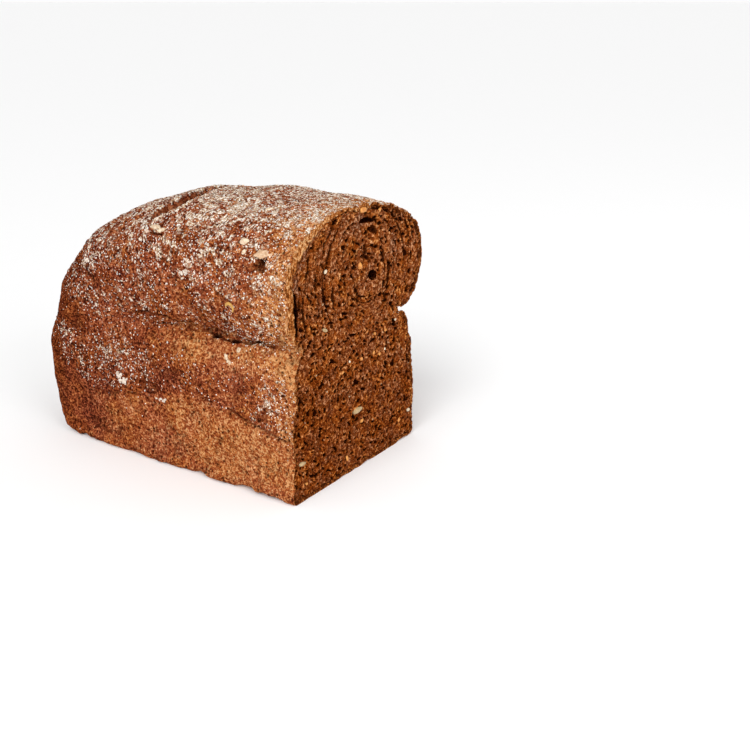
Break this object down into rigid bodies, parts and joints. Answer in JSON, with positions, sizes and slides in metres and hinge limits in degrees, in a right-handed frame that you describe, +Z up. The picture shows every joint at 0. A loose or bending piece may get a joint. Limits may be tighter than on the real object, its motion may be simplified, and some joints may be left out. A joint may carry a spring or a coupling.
{
  "type": "tin loaf",
  "caption": "Wholemeal tin loaf cut across, with a square body, a domed floury crust that bulges over the rim line, a split in the dome and a porous brown crumb in the cut face",
  "frame": {"origin": "middle of the base, on the surface that the loaf stands on", "axes": "+X runs along the loaf towards the cut face, +Y across it, +Z up"},
  "size_m": [0.1934, 0.1214, 0.1428],
  "materials": {
    "crust": "matte brown crust, dusted with flour on the dome"
  },
  "bodies": {
    "root": {"loaf": "crust"}
  },
  "joints": []
}
